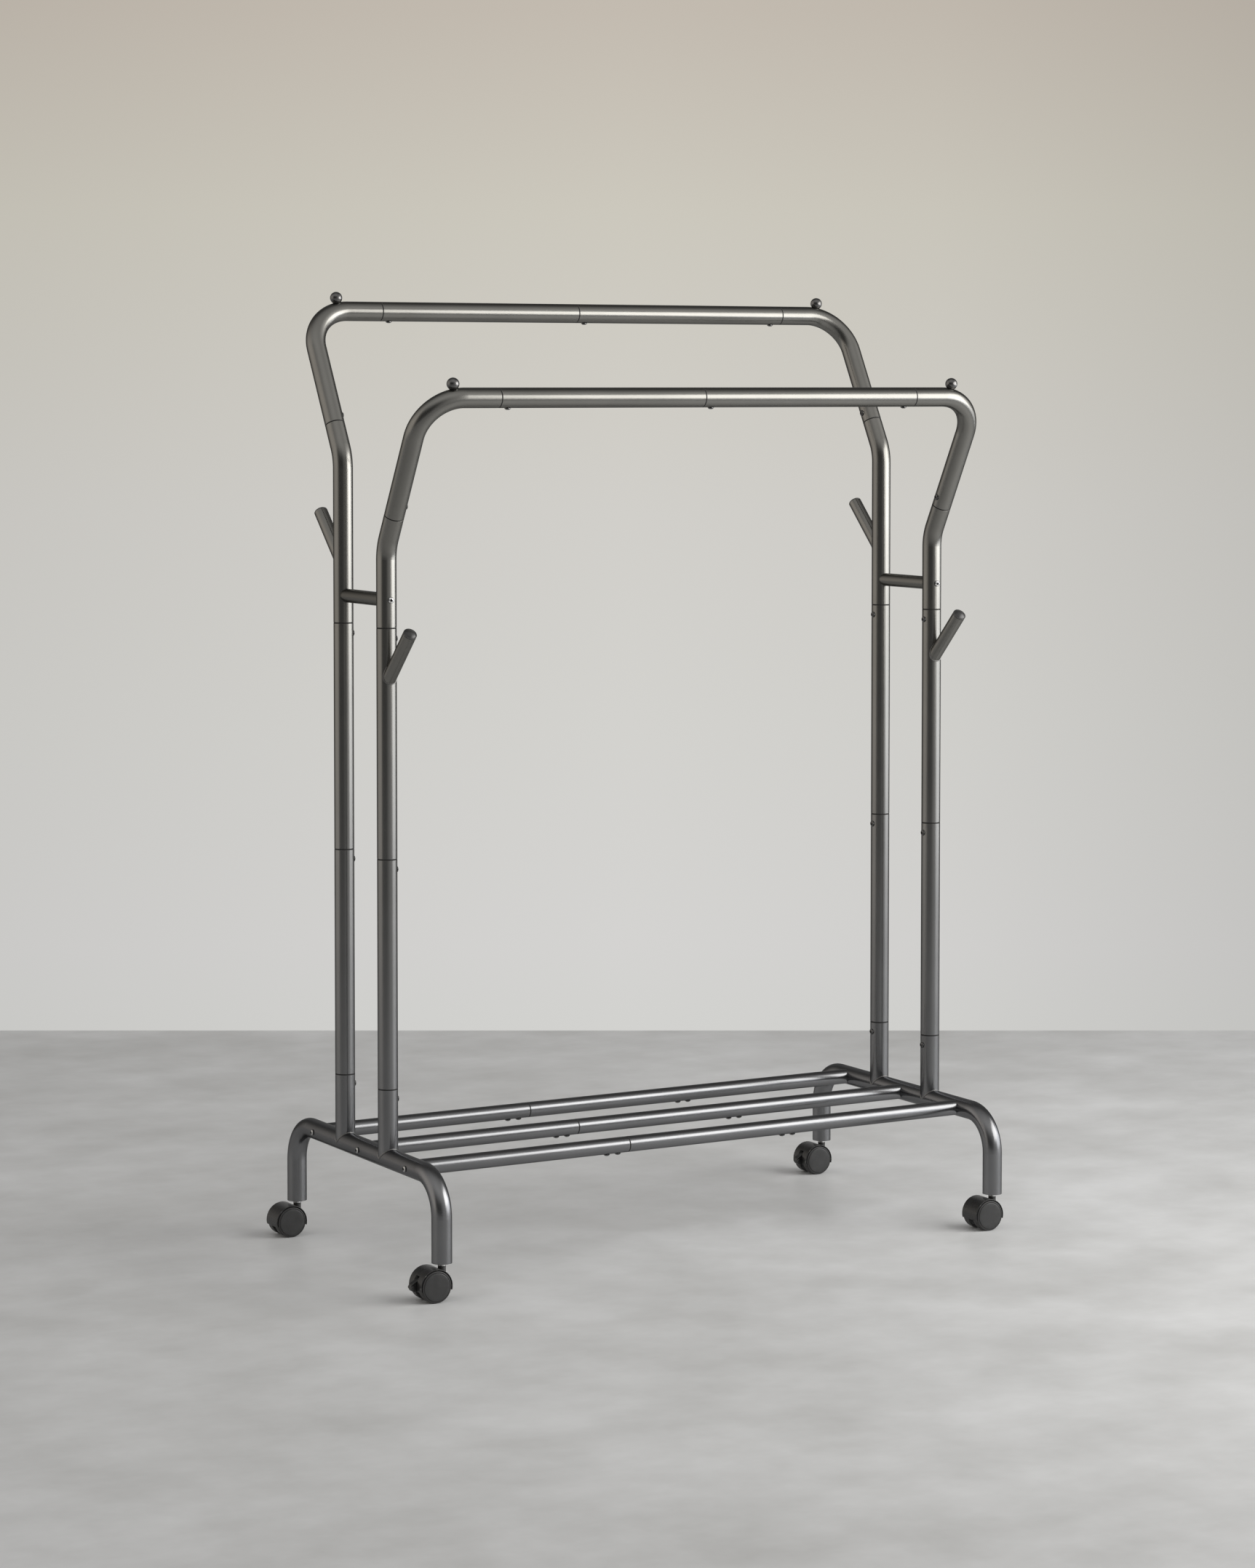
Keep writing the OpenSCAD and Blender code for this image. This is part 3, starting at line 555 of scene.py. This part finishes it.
def make_hood(caster, braked):
    node, body = f"{caster}_hood", f"{caster}_caster"
    axle = middle(f"{caster}_axle")
    here = Matrix.Translation(axle)
    shell = hood_shell(braked).moved(here)
    piece = add_piece(f"{node}_shell", shell, "caster_plastic", body)
    wall = piece.modifiers.new("wall", "SOLIDIFY")
    wall.thickness = HOOD_WALL
    wall.offset = 0.0
    soften(piece, 0.7 * MM)
    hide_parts(node)

    inside = Solid()
    past = math.degrees(math.asin(-HOOD_END / HOOD_MID_R))
    if braked:
        last = 180 - math.degrees(math.asin(SLOT_TOP / HOOD_MID_R))
        outline = arc((0, 0), HOOD_MID_R, -past, last, 48) + [(SLOT_X, SLOT_TOP), (SLOT_X, HOOD_END)]
    else:
        outline = arc((0, 0), HOOD_MID_R, -past, 180 + past, 64)
    inside.slab(outline, -WEB_HALF_W, WEB_HALF_W)
    if braked:
        for sign in (-1, 1):
            low, high = sorted((sign * SLOT_HALF_W, sign * EAR_HALF_W))
            inside.slab(arc(PIVOT, EAR_R, 0, 345, 23), low, high)
    for sign in (-1, 1):
        boss = [(3.0, 6.5), (6.2, 6.5), (6.5, 6.2), (6.5, 3.0), (3.0, 3.0)]
        inside.lathe([(h * MM, r * MM) for h, r in boss], along_y(Vector((0, 0, 0)), sign), 48)
    tower = [(5.0, 6.3), (27.2, 6.3), (27.6, 5.9), (27.6, 4.1), (6.5, 4.1), (6.5, 0)]
    inside.lathe([(h * MM, r * MM) for h, r in tower], Matrix.Translation((TRAIL, 0, 0)))
    inside.moved(here)
    add_piece(f"{node}_web", inside, "caster_plastic", body)


def hull_of_two(a, a_r, b, b_r, steps=20):
    """(x, z) outline round two circles, a on the right of b."""
    gap = Vector((b[0] - a[0], b[1] - a[1]))
    lean = math.degrees(math.asin((b_r - a_r) / gap.length))
    way = math.degrees(math.atan2(gap.y, gap.x))
    first = arc(a, a_r, way - 270 + lean, way - 90 - lean, steps)
    second = arc(b, b_r, way - 90 - lean, way + 90 + lean, steps)
    return first + second


def make_lever(caster):
    node = f"{caster}_brake_lever"
    lever = Solid()
    lever.slab(hull_of_two(PIVOT, PIVOT_R, TAB, TAB_R), -LEVER_HALF_W, LEVER_HALF_W)
    lever.slab(hull_of_two(*LIP), -LIP_HALF_W, LIP_HALF_W)
    lever.moved(Matrix.Translation(middle(f"{caster}_axle")))
    piece = add_piece(f"{node}_fine", lever, "caster_plastic", node)
    soften(piece, 1.1 * MM, 4)
    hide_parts(node)


def make_casters():
    for row in ROWS:
        for side in SIDES:
            caster = f"{row}_{side}"
            braked = f"{caster}_brake_lever" in frame["nodes"]
            make_hood(caster, braked)
            if braked:
                make_lever(caster)
            for end in ROWS:
                make_wheel(caster, end)


# ---------------------------------------------------------------- welds, knobs and caps

TUBE_R = 16.0 * MM
PEG_R = 11.0 * MM
# From the post's axis to the end of the peg's tube, along the peg.
PEG_END = 116.0 * MM
BAR_R = 12.7 * MM
BEAD_R = 1.3 * MM
BEAD_STEPS = 96
# Half the gap between two tubes, and the ring of painted shade in it: its half width, and how far its outer
# and inner sides lie under the tube's surface.
HALF_GAP = 0.3 * MM
RING_HALF_W = 0.95 * MM
RING_SUNK = 0.15 * MM
RING_DEPTH = 1.0 * MM
# The upper posts' lean, and the seams' places: past the upper post's bend, and from the rail's middle.
SLANT = math.radians(29)
KICK_SEAM = 59.0 * MM
RAIL_SEAM = 385.0 * MM
KNOB_R = 10.0 * MM
# From a rail's axis to its knobs' centres, and the angle of each ball that its neck hides.
KNOB_LIFT = 21.5 * MM
KNOB_HIDDEN = 24
KNOB_STEPS = 40


def post_places():
    """(row, side, x, y) of every post's axis."""
    for row in ROWS:
        for side in SIDES:
            at = middle(f"{row}_{side}_lower_post")
            yield row, side, at.x, at.y


def peg_line(row, side, y):
    """A coat peg's direction, and the point where its axis meets its post's."""
    mount = next(m for m in frame["record"]["mounts"] if m["name"] == f"{row}_{side}_peg")
    way = Vector(mount["axis"]).normalized()
    on_axis = Vector(mount["pos_m"])
    return way, on_axis + way * ((y - on_axis.y) / way.y)


def make_welds():
    """Beads round the posts' stubs on the feet, and round the roots of the pegs."""
    beads = Solid()
    turns = [2 * math.pi * i / BEAD_STEPS for i in range(BEAD_STEPS)]
    for row, side, x, y in post_places():
        foot_z = middle(f"front_shelf_bar_{side}").z
        saddle = []
        for turn in turns:
            rise = TUBE_R * abs(math.sin(turn))
            saddle.append(Vector((x + TUBE_R * math.cos(turn), y + TUBE_R * math.sin(turn), foot_z + rise)))
        beads.add(*closed_bead(saddle, BEAD_R))
        way, foot_of_peg = peg_line(row, side, y)
        across, up = Vector((1, 0, 0)), way.cross(Vector((1, 0, 0))).normalized()
        loop = []
        for turn in turns:
            rim = foot_of_peg + (across * math.cos(turn) + up * math.sin(turn)) * PEG_R
            reach = math.sqrt(TUBE_R**2 - (rim.x - x) ** 2) * ROW_SIGN[row]
            loop.append(rim + way * ((y + reach - rim.y) / way.y))
        beads.add(*closed_bead(loop, BEAD_R * 0.8))
    add_piece("weld_beads", beads, "gunmetal_paint", "frame", WELD)


def make_groove_shade_rings():
    """Rings of near-black painted shade in the grooves between two tubes."""
    rings = Solid()

    def ring(at, way, tube_r):
        outer, inner = tube_r - RING_SUNK, tube_r - RING_DEPTH
        profile = [(-RING_HALF_W, inner), (-RING_HALF_W, outer), (RING_HALF_W, outer), (RING_HALF_W, inner)]
        turn = Vector(way).to_track_quat("Z", "X").to_matrix().to_4x4()
        rings.lathe(profile, Matrix.Translation(at) @ turn)

    for row, side, x, y in post_places():
        for below in (f"{side}_foot", f"{row}_{side}_lower_post", f"{row}_{side}_middle_post"):
            ring((x, y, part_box(below)[1].z + HALF_GAP), (0, 0, 1), TUBE_R)
        rail = middle(f"{row}_rail_left")
        slant = Vector((0, ROW_SIGN[row] * math.sin(SLANT), math.cos(SLANT)))
        kick = Vector((x, y, rail.z - abs(rail.y - y) / math.tan(SLANT)))
        ring(kick + slant * KICK_SEAM, slant, TUBE_R)
    centre = (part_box("left_foot")[0].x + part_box("right_foot")[1].x) / 2
    for row in ROWS:
        rail = middle(f"{row}_rail_left")
        for x in (centre - RAIL_SEAM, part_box(f"{row}_rail_right")[0].x - HALF_GAP, centre + RAIL_SEAM):
            ring((x, rail.y, rail.z), (1, 0, 0), TUBE_R)
    for bar in ("front", "middle", "back"):
        low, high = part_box(f"{bar}_shelf_bar_left")
        ring((high.x + HALF_GAP, (low.y + high.y) / 2, (low.z + high.z) / 2), (1, 0, 0), BAR_R)
    add_piece("groove_shade_rings", rings, "cap_plastic", "frame", GROOVE_SHADE)


def make_knobs():
    """Ball knobs on short necks, on the ends of the rails."""
    low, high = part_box("ball_knobs")
    rails = {row: middle(f"{row}_rail_left") for row in ROWS}
    knobs = Solid()
    profile = [(TUBE_R - 1.0 * MM, 5.6 * MM), (TUBE_R + 0.1 * MM, 5.5 * MM)]
    for i in range(KNOB_STEPS):
        turn = math.radians(-90 + KNOB_HIDDEN + (180 - KNOB_HIDDEN) * i / KNOB_STEPS)
        profile.append((KNOB_LIFT + KNOB_R * math.sin(turn), KNOB_R * math.cos(turn)))
    profile.append((KNOB_LIFT + KNOB_R, 0))
    for row in ROWS:
        for x in (low.x + KNOB_R, high.x - KNOB_R):
            knobs.lathe(profile, Matrix.Translation((x, rails[row].y, rails[row].z)))
    piece = add_piece("ball_knobs_fine", knobs, "knob_metal", "frame")
    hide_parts("ball_knobs")


def make_caps():
    """Domed caps in the ends of the coat pegs."""
    caps = Solid()
    profile = [(-10.0, 0), (-10.0, 9.4), (0.0, 9.6), (0.0, 10.7), (0.3, 11.0), (1.6, 11.0), (2.0, 10.8),
               (2.2, 10.3), (2.15, 9.9), (2.3, 9.5), (3.2, 8.4), (4.2, 6.6), (5.1, 4.6), (5.7, 2.4), (6.0, 0)]
    for row, side, _, y in post_places():
        way, foot_of_peg = peg_line(row, side, y)
        turn = way.to_track_quat("Z", "X").to_matrix().to_4x4()
        place = Matrix.Translation(foot_of_peg + way * PEG_END) @ turn
        caps.lathe([(h * MM, r * MM) for h, r in profile], place)
    piece = add_piece("peg_caps_fine", caps, "cap_plastic", "frame")
    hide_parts("peg_caps")


# ---------------------------------------------------------------- stage

# The photograph's row of pixels where the floor meets the wall.
WALL_V = 1417.0
FLOOR_AHEAD = CAMERA_AT.z / math.tan(PITCH + math.atan((WALL_V - CENTRE_V) / FOCAL_PX))
FLOOR_BEHIND = 1.8
FLOOR_HALF_W = 3.2


def floor_material():
    made, g, shader, coords = new_material("floor")
    clouds = g.noise(g.stretched(coords, (1.0, 1.6, 1.0)), 1.7, 5.0, 0.6)
    patches = g.noise(coords, 7.0, 4.0, 0.6)
    specks = g.noise(coords, 90.0, 3.0)
    tone = g.math("ADD", g.math("MULTIPLY", clouds, 0.6), g.math("MULTIPLY", patches, 0.4))
    base = g.ramp(tone, [(0.34, (0.575, 0.577, 0.572)), (0.66, (0.765, 0.772, 0.778))])
    g.feed(shader.inputs["Base Color"], base)
    g.feed(shader.inputs["Roughness"], g.levels(tone, 0.35, 0.65, 0.34, 0.42))
    shader.inputs["Specular IOR Level"].default_value = 0.16
    g.feed(shader.inputs["Normal"], g.bump(specks, 0.00005, 0.05))
    return made


def make_floor():
    foot = Vector((CAMERA_AT.x, CAMERA_AT.y, 0))
    corners = []
    for ahead, across in ((1, -1), (1, 1), (0, 1), (0, -1)):
        depth = FLOOR_AHEAD if ahead else FLOOR_BEHIND
        corners.append(foot + AHEAD * depth + RIGHTWARD * across * FLOOR_HALF_W)
    mesh = bpy.data.meshes.new("floor")
    mesh.from_pydata(corners, [], [(3, 2, 1, 0)])
    mesh.materials.append(floor_material())
    made = bpy.data.objects.new("floor", mesh)
    bpy.context.scene.collection.objects.link(made)


def srgb(r, g, b):
    return tuple(((v / 255 + 0.055) / 1.055) ** 2.4 for v in (r, g, b))


# Brightness of the room round the rack, by degrees from the camera's direction to the right.
ROOM = ((-180, 0.4), (-163, 0.35), (-150, 0.12), (-136, 0.16), (-124, 0.42), (-106, 0.88), (-62, 0.88),
        (-50, 0.25), (-42, 0.08), (4, 0.08), (18, 0.3), (34, 0.5), (60, 0.5), (72, 1.5), (116, 1.5),
        (126, 0.16), (152, 0.16), (166, 0.35), (180, 0.4))
WARM_SIDE = (-140, -45)
# The wall's colours from low to high, and how it darkens to the sides.
WALL = ((0.04, (210, 210, 207)), (0.12, (212, 211, 209)), (0.31, (211, 210, 206)),
        (0.49, (209, 207, 202)), (0.75, (204, 200, 189)), (0.92, (195, 187, 176)))
WALL_FALL = ((0.1, 0.9), (0.3, 0.96), (0.5, 1.0), (0.7, 0.965), (0.9, 0.85))
OVERHEAD = ((0.0, (0.95, 0.94, 0.92)), (0.6, (0.5, 0.495, 0.485)), (0.9, (0.12, 0.118, 0.115)))


def room_colour(degrees, level):
    warm = WARM_SIDE[0] < degrees < WARM_SIDE[1]
    return tuple(level * c for c in ((1.04, 0.98, 0.91) if warm else (1.0, 0.99, 0.975)))


def make_world():
    """What the camera sees past the floor is a pale wall. All else is lit by a soft studio."""
    world = bpy.data.worlds.new("studio")
    bpy.context.scene.world = world
    world.use_nodes = True
    g = Graph(world.node_tree)
    way = g.node("ShaderNodeTexCoord").outputs["Generated"]

    def along(axis):
        dot = g.node("ShaderNodeVectorMath", {0: way, 1: tuple(axis)}, operation="DOT_PRODUCT")
        return dot.outputs["Value"]

    ahead, across, up = along(AHEAD), along(RIGHTWARD), along((0, 0, 1))

    wall = g.ramp(g.levels(up, -0.18, 0.12, 0.0, 1.0), [(p, srgb(*c)) for p, c in WALL])
    fall = g.ramp(g.levels(across, -0.2, 0.2, 0.0, 1.0), [(p, grey(level)) for p, level in WALL_FALL])
    seen = g.mix(1.0, wall, fall, "MULTIPLY")

    turned = g.math("ARCTAN2", across, g.math("MULTIPLY", ahead, -1.0))
    room = g.ramp(g.levels(turned, -math.pi, math.pi, 0.0, 1.0), [
        (0.5 + degrees / 360, room_colour(degrees, level)) for degrees, level in ROOM])
    overhead = g.ramp(g.levels(ahead, -0.8, 0.5, 0.0, 1.0), OVERHEAD)
    ceiling = g.mix(g.levels(up, 0.35, 0.8, 0.0, 1.0), room, overhead)
    below = g.mix(g.levels(up, -0.25, -0.1, 1.0, 0.0), ceiling, grey(0.42))

    camera_ray = g.node("ShaderNodeLightPath").outputs["Is Camera Ray"]
    shown = g.node("ShaderNodeBackground", {"Color": g.mix(camera_ray, below, seen), "Strength": 1.0})
    output = g.node("ShaderNodeOutputWorld")
    g.feed(output.inputs["Surface"], shown.outputs[0])


def area_light(name, at, aim, width, height, power, colour):
    data = bpy.data.lights.new(name, "AREA")
    data.shape = "RECTANGLE"
    data.size, data.size_y = width, height
    data.energy = power
    data.color = colour
    made = bpy.data.objects.new(name, data)
    made.location = at
    made.rotation_euler = (Vector(aim) - Vector(at)).to_track_quat("-Z", "Y").to_euler()
    bpy.context.scene.collection.objects.link(made)


# The rack's middle in X.
RACK_X = 0.018
# Degrees from the camera's direction to the right, distance, height, height aimed at, then the panel's
# width, height, power and colour.
LIGHTS = {
    "key": (75, 2.55, 1.75, 1.3, 2.6, 1.55, 53.0, (1.0, 0.985, 0.96)),
    "low": (93, 3.3, 0.8, 0.8, 3.6, 1.05, 20.5, (0.95, 0.98, 1.03)),
}


def make_lights():
    for name, (degrees, distance, z, aim_z, width, height, power, colour) in LIGHTS.items():
        turn = math.radians(degrees)
        away = RIGHTWARD * math.sin(turn) - AHEAD * math.cos(turn)
        at = away * distance + Vector((RACK_X, 0, z))
        area_light(name, at, (RACK_X, 0, aim_z), width, height, power, colour)


make_camera()
make_floor()
make_world()
make_lights()
dress_frame()
make_casters()
make_welds()
make_groove_shade_rings()
make_knobs()
make_caps()
bpy.context.scene.view_settings.view_transform = "Standard"
